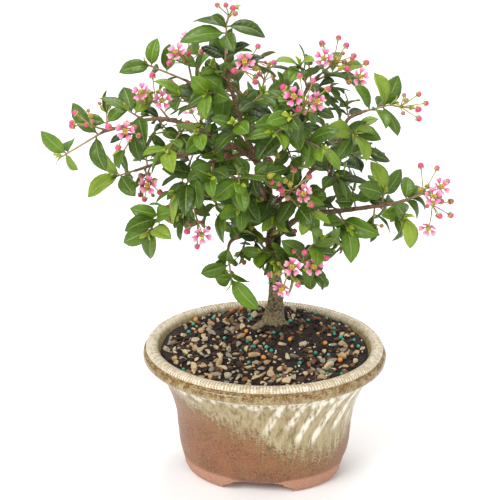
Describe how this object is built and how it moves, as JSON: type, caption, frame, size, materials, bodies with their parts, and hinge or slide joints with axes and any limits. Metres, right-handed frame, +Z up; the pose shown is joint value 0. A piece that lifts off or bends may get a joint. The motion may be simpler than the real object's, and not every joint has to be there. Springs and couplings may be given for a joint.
{
  "type": "barbados cherry bonsai",
  "caption": "Small flowering Barbados cherry tree with opposite glossy leaves and pink clusters, in an oval glazed pot on feet.",
  "frame": {"origin": "centre of the whole object's box, at the bottom of the pot's feet", "axes": "+Z up, +X along the long way of the oval pot, -Y the front that the picture shows"},
  "size_m": [0.3274, 0.2312, 0.4085],
  "materials": {
    "pot": "gloss",
    "soil": "matte",
    "wood": "matte",
    "leaf": "satin",
    "flower": "matte"
  },
  "bodies": {
    "root": {"pot": "pot", "potting_mix": "soil", "tree_wood": "wood", "shoot_left_end": "leaf", "shoot_left_upper": "leaf", "shoot_upper_left_end": "leaf", "shoot_left_mid_end": "leaf", "shoot_left_low_end": "leaf", "shoot_low_twig": "leaf", "shoot_top_end": "leaf", "shoot_right_up_end": "leaf", "shoot_right_up_mid": "leaf", "shoot_right_low_hang": "leaf", "shoot_right_low_up": "leaf", "shoot_right_low_end": "leaf", "shoot_upper_left_back": "leaf", "shoot_top_front_left": "leaf", "shoot_upper_left_front": "leaf", "shoot_top_right_side": "leaf", "shoot_top_front": "leaf", "shoot_right_crest": "leaf", "shoot_right_shoulder": "leaf", "shoot_front_high": "leaf", "shoot_front_high_left": "leaf", "shoot_front_left_high": "leaf", "shoot_left_front": "leaf", "shoot_front_left_low": "leaf", "shoot_front_right_mid": "leaf", "shoot_left_front_low": "leaf", "shoot_front_mid_end": "leaf", "shoot_front_mid_low": "leaf", "shoot_front_right_low": "leaf", "shoot_right_inner": "leaf", "shoot_inner_left_low": "leaf", "shoot_low_front_end": "leaf", "shoot_back_left_high": "leaf", "shoot_back_top_left": "leaf", "shoot_back_top_right": "leaf", "shoot_back_right_high": "leaf", "shoot_back_right_end": "leaf", "shoot_back_left_end": "leaf", "shoot_back_left_low": "leaf", "shoot_back_right_low": "leaf", "shoot_back_right_side": "leaf", "flowers_left_tip": "flower", "flowers_left_arm": "flower", "flowers_left_high": "flower", "flowers_upper_left": "flower", "flowers_left_mid": "flower", "flowers_left_low": "flower", "flowers_front_pair": "flower", "flowers_right_crest": "flower", "flowers_top_mid": "flower", "flowers_top_tip": "flower", "flowers_right_up_tip": "flower", "flowers_right_tip": "flower", "flowers_low_right": "flower", "flowers_low_front": "flower", "flowers_back_left": "flower", "flowers_back_right": "flower"}
  },
  "joints": []
}
